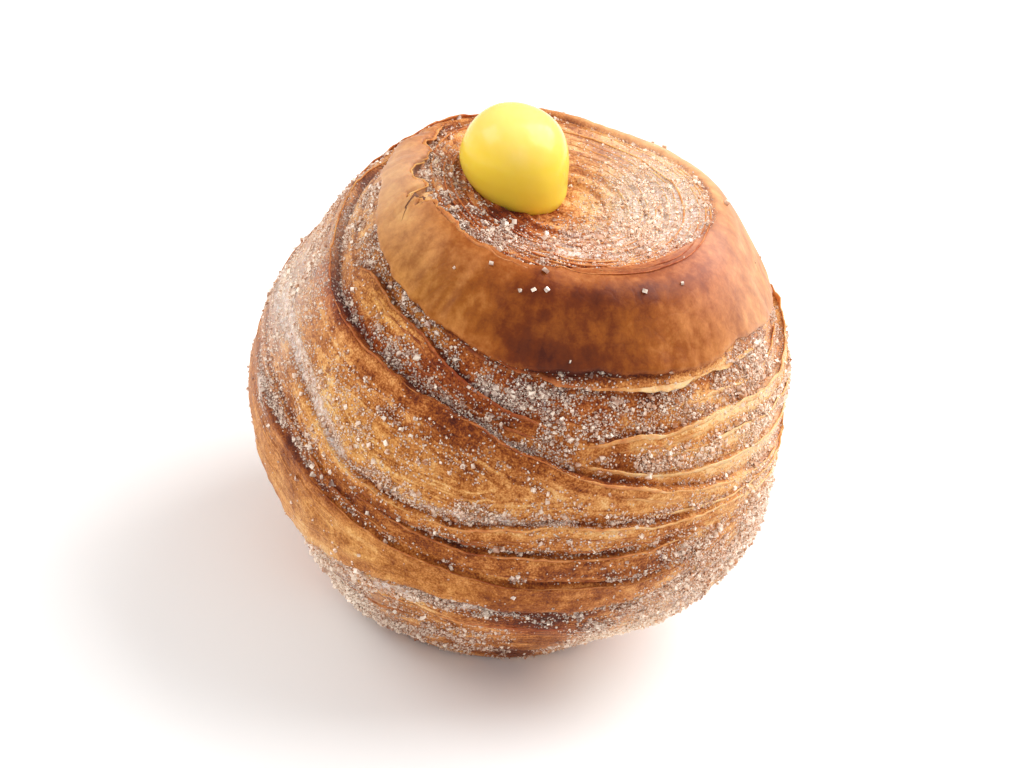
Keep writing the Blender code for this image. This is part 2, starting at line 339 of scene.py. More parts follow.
def eased(knots, at, reach):
    """The curve through the knots, read at the given places, with its corners rounded."""
    places, *tracks = np.array(knots, dtype=float).T
    shifts = np.linspace(-reach, reach, 7)
    return [np.mean([np.interp(at + shift, places, track) for shift in shifts], axis=0) for track in tracks]


def outline_at(run):
    """Radius and height of the plain outline at each run."""
    lengths = np.hypot(*np.diff(np.array(OUTLINE), axis=0).T)
    runs = np.concatenate([[0.0], np.cumsum(lengths)]) - RIM_RADIUS
    return eased(np.column_stack([runs, np.array(OUTLINE)]), run, CORNER_REACH)


QUARTER_DEGREES = np.linspace(0.0, 360.0, 1441)


def way_at(edges, name, turned):
    """The ragged level of one edge at each angle, counted on past 360 in its next turns."""
    level = 0.5 + list(edges).index(name) * 1.7
    x, y = on_circle(turned, WOBBLE_RADIUS, WOBBLE_CENTRE)
    way = eased(edges[name][2], turned, EDGE_EASE)[0]
    way += RAGGED * (rough(x * 1.4, y * 1.4, level) + 0.4 * rough(x * 5.0, y * 5.0, level))
    if name == "rim":
        for middle, half_width, depth in TEARS:
            aside = turned_from(turned, middle) + TEAR_RAGGED * rough(x * 9.0, y * 9.0, 3.5)
            way += depth * np.exp(-((aside / half_width) ** 6))
        way += RIM_CRUMBLE * rough(x * 14.0, y * 14.0, 5.5)
    return way


def edge_ways(edges, only=None):
    """Each edge's side, its reach, and its ragged level and depth at every quarter of a degree."""
    x, y = on_circle(QUARTER_DEGREES, WOBBLE_RADIUS, WOBBLE_CENTRE)
    ways = []
    for index, (name, (side, reach, knots)) in enumerate(edges.items()):
        if only not in (None, name):
            continue
        uneven = 1.0 + UNEVEN_DEPTH * rough(x * 2.5, y * 2.5, 1.4 + index * 1.7)
        for turned in (QUARTER_DEGREES - 360.0, QUARTER_DEGREES, QUARTER_DEGREES + 360.0):
            inside = (turned >= knots[0][0]) & (turned <= knots[-1][0])
            if inside.any():
                depth = np.where(inside, eased(knots, turned, EDGE_EASE)[1] * uneven, 0.0)
                ways.append((side, reach, way_at(edges, name, turned), depth))
    return ways


EDGE_WAYS = edge_ways(EDGES)
LEAF_WAYS = edge_ways(LEAVES)
HEM_WAYS = edge_ways(EDGES, "tin_hem")


def edge_passes(ways, angle, run):
    """For each edge's way: its side, its reach, how far across it each point is, and its depth there."""
    for side, reach, path, depth in ways:
        across = side * (run - np.interp(angle, QUARTER_DEGREES, path))
        yield side, reach, across, np.interp(angle, QUARTER_DEGREES, depth)


def edge_relief(ways, angle, run, softness):
    """How far each point stands out, and how far it is drawn up or down, where the edges pass."""
    out = np.zeros_like(run)
    drawn = np.zeros_like(run)
    for side, reach, across, depth in edge_passes(ways, angle, run):
        lip = (1.0 - GULLY_SHARE) * np.exp(-np.abs(across) / reach)
        gully = -GULLY_SHARE * np.exp(-np.abs(across) / (0.6 * reach))
        step = held(0.5 + 0.5 * across / softness)
        out += depth * (gully + (lip - gully) * step * step * (3.0 - 2.0 * step))
        drawn -= side * depth * OVERHANG * bell(across - 0.5, 0.9)
    return out, drawn


def ring_phase(angle, run):
    """Where each point lies among the crater's thin coils: at their edges it is a whole number."""
    radius = run + RIM_RADIUS
    x, y = on_circle(angle, radius)
    uneven = RING_UNEVEN * rough(x / 5.0 + 40.0, y / 5.0 + 40.0, 0.5)
    return (radius - RING_START + uneven) / RING_PITCH - (angle % 360.0) / 360.0


def coils_broken(angle, run):
    """How much of the crater's thin coils shows at each point: they are broken here and there."""
    return np.clip(0.6 + 1.2 * rough((run + RIM_RADIUS) / 4.0 + 30.0, angle / 14.0, 2.5), 0.1, 1.0)


def crater_relief(angle, run):
    """The dip of the crater's floor, with the coarse and the fine grooves of the inner turns."""
    radius = np.clip(run + RIM_RADIUS, 0.0, None)
    dip = -FLOOR_DIP * held(1.0 - (radius / 21.0) ** 2)
    turns = radius / SWIRL_PITCH + angle / 360.0
    coarse = -SWIRL_DEPTH * np.abs(np.cos(np.pi * turns)) ** 6 * held((19.0 - radius) / 4.0)
    fine = -RING_DEPTH * coils_broken(angle, run) * np.sin(np.pi * ring_phase(angle, run)) ** 2
    return dip + held(radius / 4.0) * (coarse + held((23.0 - radius) / 2.0) * fine)


def along_leaves(angle, run):
    """How far each point lies across the nearest edges: the leaves of dough run along its levels."""
    total = 0.02 * run
    weights = np.full_like(run, 0.02)
    for side, _, across, depth in edge_passes(EDGE_WAYS, angle, run):
        weight = held(depth) / (1.0 + (across / 2.5) ** 2) ** 2
        total += weight * side * across
        weights += weight
    return total / weights


def between(angle, run, upper, lower, blend):
    """1 between two edges' ways and 0 outside them, where both are there."""
    share = np.ones_like(run)
    for name, sign in ((upper, 1.0), (lower, -1.0)):
        knots = EDGES[name][2]
        first, last = knots[0][0], knots[-1][0]
        passed = np.zeros_like(run)
        for turn in (-360.0, 0.0, 360.0):
            inside = np.minimum(angle + turn - first, last - angle - turn)
            fade = held(inside / END_FADE) if last - first < 359.0 else (inside >= 0.0)
            path = eased(knots, angle + turn, EDGE_EASE)[0]
            passed = np.maximum(passed, fade * held(0.5 + sign * (run - path) / blend))
        share *= passed
    return share


def collar_share(angle, run):
    """1 on the smooth collar round the crater."""
    return between(angle, run, "rim", "collar", 0.8)


def heel_share(angle, run):
    """1 on the smooth low band over the tin's brim."""
    return between(angle, run, "heel_lip", "tin_hem", 1.0)


def skin_share(angle, run):
    """1 where the dough's skin is smooth, 0 where it is leafy."""
    return np.maximum(collar_share(angle, run), HEEL_SMOOTH * heel_share(angle, run))


def lumps_at(lumps, x, y, z):
    """The sum of smooth lumps, each how high, how wide, and its place in the noise."""
    return sum(high * rough(x / wide + place, y / wide + place, z / wide) for high, wide, place in lumps)


def dough_points(angle, run):
    """The dough's surface in millimetres, with its leaves, lumps and blisters, and the custard's well."""
    out, drawn = edge_relief(EDGE_WAYS, angle, run, EDGE_SOFTNESS)
    leaf_out, leaf_drawn = edge_relief(LEAF_WAYS, angle, run, LEAF_SOFTNESS)
    radius, height = outline_at(run + drawn + leaf_drawn)
    ahead_radius, ahead_height = outline_at(run + drawn + 0.5)
    behind_radius, behind_height = outline_at(run + drawn - 0.5)
    along_radius = ahead_radius - behind_radius
    along_height = ahead_height - behind_height
    length = np.hypot(along_radius, along_height)
    x, y = on_circle(angle, radius)
    across = along_leaves(angle, run)
    fine = lumps_at(BLISTERS, x, y, height)
    for high, wide, long, place in FINE_LEAVES:
        fine += high * rough(across / wide + place, x / long + 20.0, y / long + 20.0)
    inner = held((run + RIM_RADIUS) / 5.0)
    out = out + leaf_out + crater_relief(angle, run) + patches_at(SWELLS, angle, run)
    out = out + (1.0 - SMOOTHEST * skin_share(angle, run)) * fine * inner
    out = (out + lumps_at(LUMPS, x, y, height) * inner) * held(height / 4.0)
    radius = np.clip(radius - out * along_height / length, 0.0, None)
    height = np.clip(height + out * along_radius / length, 0.0, None)
    x, y = on_circle(angle, radius)
    aside = np.hypot(x - CUSTARD_CENTRE[0] - WELL_SHIFT, y - CUSTARD_CENTRE[1])
    share = held(aside / WELL_HALF_WIDTH)
    well = CUSTARD_CENTRE[2] - (CUSTARD_DROP + CUSTARD_GAP) * (1.0 - share**3.0) ** (1.0 / 3.0)
    in_well = (share < 1.0) & (height > LOWEST_WELL)
    return np.column_stack([x, y, np.where(in_well, np.minimum(height, well), height)])


# The dough's mesh: fine rows down the side, fewer in the crater and under the foot.
STEPS_AROUND = 360
STEPS_DOWN = 276
ROW_SHARES = (0.0, 0.261, 0.9565, 1.0)
ROW_RUNS = (-RIM_RADIUS, -0.5, 88.2, 111.0)

# How dark the dough is, from 0 to 1: angle, run, how much, spread in degrees and along the run.
# Mostly its baked tone; the pale patch low on the right of the foot is painted light.
BAKE_AND_PAINTED_LIGHT_PATCHES = (
    (205, 4, -0.04, 22, 9), (232, 8, 0.1, 18, 9), (256, 8, 0.18, 22, 7), (280, 10, 0.26, 26, 6),
    (290, 5, 0.2, 30, 4), (298, 1.8, 0.3, 46, 2.6), (315, -2.5, 0.26, 40, 2.2), (345, 7, 0.06, 22, 9),
    (215, -2, 0.22, 18, 2), (205, 11, 0.1, 12, 3), (325, 12, 0.08, 16, 4), (285, 12.8, 0.28, 26, 2.4),
    (273, 47.6, 0.12, 12, 2), (280, 52, 0.08, 12, 2), (250, 11, -0.06, 14, 4),
    (306, 16.2, -0.26, 24, 0.9), (236, 20, 0.1, 10, 3), (270, 18, 0.2, 26, 3.5),
    (262, 22, 0.1, 34, 4), (226, 17.5, -0.06, 9, 2.0), (206, 21.5, 0.16, 6, 2),
    (219, 20.6, 0.18, 6, 1.4), (228, 21.8, 0.18, 7, 1.3), (238, 23.1, 0.14, 7, 1.2),
    (214, 26, -0.05, 9, 2), (262, 28, 0.24, 30, 5), (228, 34, -0.08, 20, 6), (198, 36, 0.2, 12, 3),
    (292, 34, -0.06, 16, 4), (322, 30, -0.16, 26, 11), (345, 34, -0.18, 22, 14),
    (196, 28, -0.06, 16, 9), (250, 46.0, 0.24, 40, 3), (205, 43, 0.2, 14, 4), (230, 48, 0.12, 14, 4),
    (302, 46, 0.24, 12, 3), (284, 42, 0.08, 14, 3), (325, 42, 0.1, 12, 3), (218, 53, 0.08, 18, 5),
    (250, 54, 0.08, 24, 4), (284, 57, 0.28, 22, 5), (245, 61, -0.12, 14, 4), (240, 52, -0.08, 20, 4),
    (275, 76, -0.1, 14, 10), (205, 57, -0.12, 12, 5), (224, 64, -0.16, 12, 5),
    (264, 64, -0.06, 12, 3), (286, 60, 0.24, 12, 5), (268, 78, 0.2, 40, 13), (293, 72, 0.18, 10, 11),
    (316, 69, -0.36, 11, 12), (190, -9, 0.06, 22, 7), (226, -10, 0.44, 22, 6),
    (245, -16, 0.16, 34, 6), (330, -12, -0.18, 60, 10), (30, -10, -0.17, 50, 10),
    (54, -2, -0.18, 34, 5), (20, -21, -0.16, 70, 6), (335, 50, -0.04, 20, 7), (90, 30, 0.04, 60, 30),
)
BAKE_BASE = 0.37

# How much darker the crest of each edge is; where it is below 0 the crest is paler, a painted highlight on
# the thin lips.
CREST_TONES_AND_HIGHLIGHTS = {
    "main_lip": 0.08, "flap": 0.12, "thin_lip": -0.12, "second_lip": -0.1, "heel_lip": 0.06,
    "low_lip": -0.04,
}
CREST_WAYS = [(tone, edge_ways(EDGES, name)) for name, tone in CREST_TONES_AND_HIGHLIGHTS.items()]

# Where the crust is more reddish, or below 0 more golden: angle, run, how much, and the spreads.
BLUSH_PATCHES = (
    (210, 6, -0.7, 30, 9), (235, 10, -0.5, 20, 5), (340, 2, 0.8, 24, 8), (292, 7, -0.25, 26, 7),
    (235, 34, -0.5, 30, 8), (258, 74, -0.25, 40, 14), (245, 54, -0.4, 40, 6), (285, 64, 0.6, 14, 4),
    (218, 21.6, 0.9, 20, 1.7), (226, 17.2, -0.5, 9, 2), (266, 19.5, 0.6, 32, 4),
    (244, 28, 0.3, 22, 4), (250, -10, 0.5, 90, 12), (350, -9, 0.5, 60, 8),
)

# The lit side, round this angle, where the gullies are paler by this share.
LIT_SIDE = 10.0
LIT_SIDE_SPREAD = 60.0
LIT_SIDE_SHARE = 0.6


def blush_at(angle, run):
    """How reddish the crust is."""
    return np.clip(patches_at(BLUSH_PATCHES, angle, run), -1.0, 1.0)


def gully_shade_at(angle, run):
    """How deep each point lies in the gullies before the lips, under the hems and in the crater's coils:
    painted shade.
    """
    gully = np.zeros_like(run)
    for ways, strength in ((EDGE_WAYS, 1.0), (LEAF_WAYS, 0.9)):
        for _, _, across, depth in edge_passes(ways, angle, run):
            depth = depth * (1.0 - held(-1.0 - run) * (angle > 275.0))
            near = bell(across + 0.45, 0.55) * held(depth / 1.2)
            wide = 0.30 * bell(across + 1.6, 1.4) * held(depth / 1.8)
            gully = np.maximum(gully, strength * (near + wide))
    rings = np.sin(np.pi * ring_phase(angle, run)) ** 4 * held((-1.5 - run) / 2.0)
    lit = LIT_SIDE_SHARE * bell(turned_from(angle, LIT_SIDE), LIT_SIDE_SPREAD)
    return np.maximum(gully, 0.5 * coils_broken(angle, run) * rings) * (1.0 - lit)


def bake_and_painted_light_at(angle, run):
    """How dark the dough is at each point: its baked tone, darker crests, and painted light in some patches
    and on the thin lips' crests.
    """
    bake_and_painted_light = BAKE_BASE + patches_at(BAKE_AND_PAINTED_LIGHT_PATCHES, angle, run)
    for tone, ways in CREST_WAYS:
        for _, _, across, depth in edge_passes(ways, angle, run):
            bake_and_painted_light += tone * held(depth / 1.2) * bell(across - 0.5, 0.9)
    return bake_and_painted_light


# How thick the sugar lies: angle, run, how much, spread in degrees and along the run.
SUGAR_PATCHES = (
    (248, -6, 0.75, 22, 3.5), (285, -9, 0.5, 26, 5), (285, -14, 0.4, 30, 5), (335, -12, 0.7, 36, 6),
    (20, -10, 0.7, 40, 7), (192, -6, 0.75, 24, 5), (222, -8, 0.12, 20, 4), (197, -0.6, 0.9, 5, 1.2),
    (175, -1.6, 0.8, 4, 1.0), (272, 19, 0.8, 26, 3.2), (322, 19.5, 0.6, 20, 4),
    (226, 13, 0.45, 18, 2), (203, 11, 0.5, 10, 4), (188, 9, 0.55, 12, 5), (220, 20, 0.6, 16, 1.6),
    (250, 22, 0.45, 14, 1.8), (276, 25.5, 0.6, 13, 2.4), (310, 28, 0.6, 20, 1.8),
    (343, 25, 0.6, 15, 6), (196, 25, 0.5, 12, 8), (215, 33, 0.4, 12, 4), (235, 31, 0.22, 16, 5),
    (272, 33, 0.12, 30, 4), (265, 39.5, 0.65, 34, 1.8), (318, 36, 0.5, 18, 1.8),
    (342, 42, 0.7, 16, 6), (265, 44, 0.24, 24, 1.2), (316, 44.5, 0.5, 18, 2),
    (214, 43, 0.35, 18, 2.5), (328, 52, 0.75, 20, 6), (345, 64, 0.7, 24, 10), (262, 58, 0.2, 14, 2.2),
    (226, 66, 0.45, 14, 4), (232, 75, 0.6, 16, 10), (250, 61.5, 0.4, 12, 2.4),
    (293, 73, -0.5, 10, 11), (320, 68, 0.6, 14, 10), (268, 76, 0.36, 60, 12), (304, 62, 0.45, 12, 4),
    (264, 63.5, -0.5, 13, 2.6), (240, -1.8, 0.55, 32, 1.6), (203, 44.5, 0.5, 5, 2.5),
    (350, 55, 0.5, 16, 8), (60, 24, 0.4, 50, 10), (110, 40, 0.45, 50, 12), (90, 72, 0.55, 90, 14),
    (0, 24, 0.5, 22, 8), (150, 20, 0.35, 24, 10), (160, 50, 0.35, 24, 8), (30, 52, 0.4, 30, 8),
)
SUGAR_EVERYWHERE = 0.06
# Where dust veils the dough more widely: angle, run, how much, spread in degrees and along the run.
DUST_PATCHES = (
    (355, -10, 0.75, 50, 8), (300, -14, 0.55, 30, 6), (20, -9, 0.6, 40, 8), (276, -10, 0.45, 26, 4),
    (192, 29, 0.6, 15, 8), (350, 32, 0.3, 18, 14), (322, 67, 0.7, 14, 13), (205, 22, 0.2, 10, 5),
    (232, 66, 0.15, 20, 4), (346, 57, 0.35, 10, 10), (268, -7, 0.2, 28, 4),
)
# Fine sugar dust, rubbed into streaks: side, half width, and the way as (angle, run, how much).
DUST_STREAKS = {
    "left_streak": (1, 1.8, (
        (165, 35.0, 0.0), (180, 34.0, 0.9), (193, 31.6, 1.3), (201, 30.8, 1.5), (210, 31.2, 1.5),
        (220, 33.9, 1.4), (230, 38.0, 1.2), (235, 40.4, 0.9), (243, 43.0, 0.0),
    )),
    "left_outer_streak": (1, 1.3, (
        (194, 42.0, 0.0), (199, 43.4, 1.0), (205, 45.4, 1.0), (211, 47.5, 0.0),
    )),
    "left_top_streak": (1, 1.5, (
        (165, 9.0, 0.0), (180, 12.0, 0.6), (195, 18.0, 0.6), (206, 22.0, 0.0),
    )),
    "gully_streak": (1, 0.9, (
        (236, 20.0, 0.0), (250, 23.5, 0.4), (272, 27.0, 0.6), (290, 29.0, 0.0),
    )),
    "crater_streak": (1, 1.4, (
        (240, -6.0, 0.0), (252, -5.5, 0.6), (264, -6.0, 0.6), (285, -9.0, 0.0),
    )),
    "crater_far_streak": (1, 1.5, (
        (310, -11.0, 0.0), (335, -10.5, 0.5), (360, -9.0, 0.6), (400, -8.0, 0.0),
    )),
    "line_streak": (1, 0.8, (
        (236, 40.5, 0.0), (256, 41.0, 0.5), (285, 38.5, 0.5), (305, 37.5, 0.0),
    )),
    "right_streak": (1, 1.8, (
        (318, 58.0, 0.0), (332, 53.0, 0.9), (350, 48.0, 0.9), (372, 43.0, 0.0),
    )),
    "foot_streak": (1, 1.5, (
        (225, 66.0, 0.0), (238, 63.5, 0.9), (248, 61.8, 1.4), (256, 60.6, 1.2), (264, 57.6, 0.9),
        (274, 56.8, 0.7), (286, 57.0, 0.0),
    )),
    "foot_left_streak": (1, 2.0, (
        (205, 68.0, 0.0), (222, 70.0, 0.8), (240, 73.0, 0.5), (256, 76.0, 0.0),
    )),
}
DUST_WAYS = edge_ways(DUST_STREAKS)
DUST_WITH_SUGAR = 0.55
# Where the crust is paled towards white: angle, run, how much, and the spreads. In part a bloom of melted
# fine sugar, in part painted light: on the pale right side and edges, and low on the foot.
BLOOM_AND_PAINTED_LIGHT_PATCHES = (
    (190, 4, 0.22, 22, 9), (350, 4, 0.1, 24, 8), (350, 36, 0.28, 15, 24), (190, 29, 0.56, 16, 12),
    (230, 77, 0.55, 18, 12), (5, -11, 0.4, 40, 8), (56, -6, 0.3, 36, 9), (316, 70, 0.64, 11, 13),
    (344, 56, 0.2, 11, 9), (200, 32, 0.16, 12, 5),
)


def sugar_at(angle, run):
    """How thick the sugar lies: in the drifts, in the gullies over the lips, and hardly on the collar."""
    sugar = SUGAR_EVERYWHERE + patches_at(SUGAR_PATCHES, angle, run)
    for side, _, across, depth in edge_passes(EDGE_WAYS, angle, run):
        if side > 0:
            sugar += 0.30 * held(depth / 1.5) * bell(across + 1.2, 1.0)
            sugar *= 1.0 - 0.80 * held(depth) * bell(across - 0.9, 1.1)
    for _, _, across, depth in edge_passes(HEM_WAYS, angle, run):
        sugar += held(depth / 1.8) * bell(across + 2.3, 1.6)
    x, y = on_circle(angle, 13.0, 20.0)
    sugar *= np.clip(1.0 + 1.3 * rough(x, y, run / 3.2), 0.15, 1.7)
    rings = np.cos(np.pi * ring_phase(angle, run)) ** 2
    sugar *= 1.0 - 0.7 * (1.0 - rings) * held((-1.5 - run) / 2.0)
    sugar *= 1.0 - 0.995 * collar_share(angle, run)
    sugar *= 1.0 - 0.80 * heel_share(angle, run)
    return held(sugar)


def dust_at(angle, run):
    """How thick the fine sugar dust lies."""
    dust = DUST_WITH_SUGAR * sugar_at(angle, run) + patches_at(DUST_PATCHES, angle, run)
    for _, half_width, across, much in edge_passes(DUST_WAYS, angle, run):
        dust += much * bell(across, half_width)
    return held(dust * (1.0 - collar_share(angle, run)))


# The crack that runs on from the deepest tear: its way as (run, angle), and the run where it ends.
CRACK = ((1.0, 208.5), (2.5, 210.0), (3.4, 210.6), (4.2, 212.6), (5.6, 214.4))
CRACK_END = 5.4


def crack_place_at(angle, run):
    """How far aside of the crack each point lies, and how far it still is to the crack's end, in mm."""
    levels, turns = np.array(CRACK).T
    aside = np.radians(angle - np.interp(run, levels, turns)) * outline_at(run)[0]
    aside += 0.22 * rough(run / 0.9, 4.0, 0.5)
    ahead = np.where(run < 0.0, -1.0, CRACK_END - run)
    return np.column_stack([aside, ahead, np.zeros_like(run)])


def finished(name, bm, made):
    """The piece's object, shaded smooth, that rides on the cruffin."""
    mesh = bpy.data.meshes.new(name)
    bm.to_mesh(mesh)
    bm.free()
    mesh.shade_smooth()
    mesh.materials.append(made)
    piece = bpy.data.objects.new(name, mesh)
    scene.collection.objects.link(piece)
    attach(piece, "root")
    return piece


bm = bmesh.new()
bmesh.ops.create_uvsphere(bm, u_segments=STEPS_AROUND, v_segments=STEPS_DOWN, radius=1.0)
place = np.array([vert.co for vert in bm.verts])
dough_angle = np.degrees(np.arctan2(place[:, 1], place[:, 0])) % 360.0
dough_run = np.interp(np.arccos(np.clip(place[:, 2], -1.0, 1.0)) / np.pi, ROW_SHARES, ROW_RUNS)
for vert, point in zip(bm.verts, dough_points(dough_angle, dough_run) * MM):
    vert.co = point


def add_node(kind, inputs=None, output=0, **settings):
    """One output of a new node, with its settings and inputs, in the material that is being made."""
    node = tree.nodes.new("ShaderNode" + kind)
    for name, value in settings.items():
        setattr(node, name, value)
    set_inputs(node, inputs or {})
    return node.outputs[output]


# Baked laminated dough, glazed by its own butter and sugar: golden where it is thin, chestnut where it
# faced the heat, streaked along its leaves, with small blisters, and frosted where sugar dust clings.
crust, tree, shader = new_material("baked_laminated_dough")
place = add_node("TexCoord", output="Object")
bake_and_painted_light, blush, gully, frost, bloom_and_painted_light, skin = (
    add_node("Attribute", output="Fac", attribute_name=name)
    for name in ("bake_and_painted_light", "blush", "gully", "frost", "bloom_and_painted_light", "skin")
)
leaf_place = add_node("Attribute", output="Vector", attribute_name="leaf_place")
crack_place = add_node("Attribute", output="Vector", attribute_name="crack_place")


def pitch(size):
    """The scale of a pattern whose lumps are so many millimetres wide."""
    return 1.0 / (size * MM)


def swing(total, pattern, weight, middle=0.5):
    """The total with a pattern added that swings about its middle."""
    swung = add_node("Math", {0: pattern, 1: middle}, operation="SUBTRACT")
    return add_node("Math", {0: swung, 1: weight, 2: total}, operation="MULTIPLY_ADD")


def added(total, *terms):
    """The total with each pattern added to it, times its weight."""
    for pattern, weight in terms:
        total = add_node("Math", {0: pattern, 1: weight, 2: total}, operation="MULTIPLY_ADD")
    return total


def on_dough_or_skin(on_dough, on_skin):
    """One value on the leafy dough that changes to another on the smooth skin."""
    return added(on_dough, (skin, on_skin - on_dough))


# From the palest dough to the darkest: how dark, and its colour.
BAKED_TONES = (
    (0.0, "#F2C78F"), (0.2, "#E2A25E"), (0.4, "#C47B3E"), (0.6, "#995018"), (0.8, "#6F2E0B"),
    (1.0, "#4E1B0B"),
)
BLUSH_HUE = -0.013


def baked_tone(darkness, blush):
    """The colour of dough baked so dark, golden where blush is -1 and reddish where it is 1."""
    tone = add_node("ValToRGB", {"Fac": darkness})
    ramp = tone.node.color_ramp
    ramp.elements[0].color = linear(BAKED_TONES[0][1])
    ramp.elements[-1].color = linear(BAKED_TONES[-1][1])
    for stop, colour in BAKED_TONES[1:-1]:
        ramp.elements.new(stop).color = linear(colour)
    return add_node("HueSaturation", {"Hue": added(0.5, (blush, BLUSH_HUE)), "Color": tone})


# Cloudy browning 9, 4 and 1 mm wide, and specks of 0.3 mm; bands and fibres that run up the side.
clouds = add_node("TexNoise", {"Vector": place, "Scale": pitch(9.09), "Detail": 2.0})
patches = add_node(
    "TexNoise", {"Vector": place, "Scale": pitch(4.348), "Detail": 3.0, "Distortion": 0.5}
)
crumbs = add_node("TexNoise", {"Vector": place, "Scale": pitch(1.0), "Detail": 4.0, "Roughness": 0.75})
speckle = add_node("TexNoise", {"Vector": place, "Scale": pitch(0.303), "Detail": 1.0})
upright_place = add_node("Mapping", {"Vector": place, "Scale": (1.0, 1.0, 0.16)})
bands = add_node("TexNoise", {"Vector": upright_place, "Scale": pitch(2.381), "Detail": 3.0})
fibres = add_node("TexNoise", {"Vector": upright_place, "Scale": pitch(1.0), "Detail": 2.0})
# Streaks and layers follow the leaves: leaf_place counts 0.7 mm steps across them and 5 mm along them.
streaks = add_node("TexNoise", {"Vector": leaf_place, "Scale": 1.0, "Detail": 3.0, "Roughness": 0.65})
layers = add_node("TexNoise", {"Vector": leaf_place, "Scale": 0.36, "Detail": 2.0, "Roughness": 0.6})
# Wrinkles 3 mm apart in the skin, pores 1.1 mm apart in the dough, and grains of dust 0.36 mm wide.
warp = add_node("VectorMath", {0: patches.node.outputs["Color"], "Scale": 3.5 * MM}, operation="SCALE")
bent_place = add_node("VectorMath", {0: place, 1: warp}, operation="ADD")
wrinkle = add_node(
    "TexVoronoi", {"Vector": bent_place, "Scale": pitch(3.03)}, feature="DISTANCE_TO_EDGE"
)
pore = add_node("TexVoronoi", {"Vector": place, "Scale": pitch(1.111)})
fine_sugar = add_node("TexVoronoi", {"Vector": place, "Scale": pitch(0.3571)})
wrinkle_line, pore_dip, grain_shape = (
    add_node("Math", {0: distance, 1: -steepness, 2: 1.0}, operation="MULTIPLY_ADD", use_clamp=True)
    for distance, steepness in ((wrinkle, 9.0), (pore, 2.6), (fine_sugar, 1.5))
)
rough_dough = add_node("Math", {0: 1.0, 1: skin}, operation="SUBTRACT")
creases = add_node("Math", {0: wrinkle_line, 1: skin}, operation="MULTIPLY")
pits = add_node("Math", {0: pore_dip, 1: rough_dough}, operation="MULTIPLY")

# The crack is 0.5 mm wide at the tear and thins out to nothing at its end.
crack_side = add_node("SeparateXYZ", {"Vector": crack_place}, output="X")
crack_ahead = crack_side.node.outputs["Y"]
crack_width = add_node("Math", {0: crack_ahead, 1: 0.08}, operation="MULTIPLY")
crack_aside = add_node("Math", {0: crack_side}, operation="ABSOLUTE")
crack_depth = add_node("Math", {0: crack_width, 1: crack_aside}, operation="SUBTRACT")
crack = add_node("Math", {0: crack_depth, 1: 9.0}, operation="MULTIPLY", use_clamp=True)

# How strongly each pattern darkens the leafy dough, and the smooth skin.
darkness = bake_and_painted_light
for pattern, on_dough, on_skin in (
    (patches, 0.75, 0.35),
    (clouds, 0.30, 0.25),
    (bands, 0.0, 0.36),
    (crumbs, 0.74, 0.14),
    (speckle, 0.75, 0.10),
    (streaks, 0.31, 0.05),
    (layers, 1.0, 0.0),
    (fibres, 0.0, 0.20),
):
    darkness = swing(darkness, pattern, on_dough_or_skin(on_dough, on_skin))
# Darker in the skin's creases, the pores, the gullies and the crack: painted shade in these hollows.
darkness = added(darkness, (creases, 0.025), (pits, 0.14), (gully, 0.30), (crack, 0.5))
crust_tone = add_node(
    "Mix", {"Factor": bloom_and_painted_light, "A": baked_tone(darkness, blush), "B": linear("#EFDACD")},
    output="Result", data_type="RGBA",
)

# Dust lies as single grains, more of them where it is thicker, and cakes together where it is thickest.
grain_draw = add_node("SeparateColor", {"Color": fine_sugar.node.outputs["Color"]}, output="Red")
doubled = add_node("Math", {0: frost, 1: 2.0}, operation="MULTIPLY", use_clamp=True)
dust_share = added(frost, (added(-0.3, (patches, 0.6)), doubled))
dusted = add_node("Math", {0: added(0.02, (grain_draw, 0.98)), 1: dust_share}, operation="LESS_THAN")
grain_cover = add_node("Math", {0: grain_shape, 1: 1.6}, operation="MULTIPLY", use_clamp=True)
caked = add_node(
    "Math", {0: added(frost, (crumbs, 1.8)), 1: 2.6, 2: -4.03}, operation="MULTIPLY_ADD", use_clamp=True
)
powder_cover = add_node("Math", {0: dusted, 1: grain_cover}, operation="MULTIPLY")
powder_cover = add_node("Math", {0: powder_cover, 1: caked}, operation="MAXIMUM")
grain_tone = add_node(
    "Mix", {"Factor": grain_draw.node.outputs["Green"], "A": linear("#FAEEE6"), "B": linear("#E2BEA6")},
    output="Result", data_type="RGBA",
)
colour = add_node(
    "Mix", {"Factor": added(0.0, (powder_cover, 0.9)), "A": crust_tone, "B": grain_tone},
    output="Result", data_type="RGBA",
)
relief = 0.0
for pattern, on_dough, on_skin in ((crumbs, 0.70, 0.10), (streaks, 0.51, 0.06)):
    relief = added(relief, (pattern, on_dough_or_skin(on_dough, on_skin)))
relief = added(relief, (pits, -0.5), (creases, -0.06), (powder_cover, 0.9), (crack, -2.0))
set_inputs(shader, {
    "Base Color": colour,
    "Roughness": on_dough_or_skin(0.58, 0.44),
    "IOR": 1.45,
    "Specular IOR Level": 0.18,
    "Sheen Weight": 0.08,
    "Sheen Roughness": 0.45,
    "Sheen Tint": linear("#FFDDC4"),
    "Subsurface Weight": 0.12,
    "Subsurface Radius": (1.0, 0.45, 0.2),
    "Subsurface Scale": 1.2 * MM,
    "Normal": add_node("Bump", {"Strength": 0.8, "Distance": 0.35 * MM, "Height": relief}),
})

dough = finished("crust", bm, crust)
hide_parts("pastry")

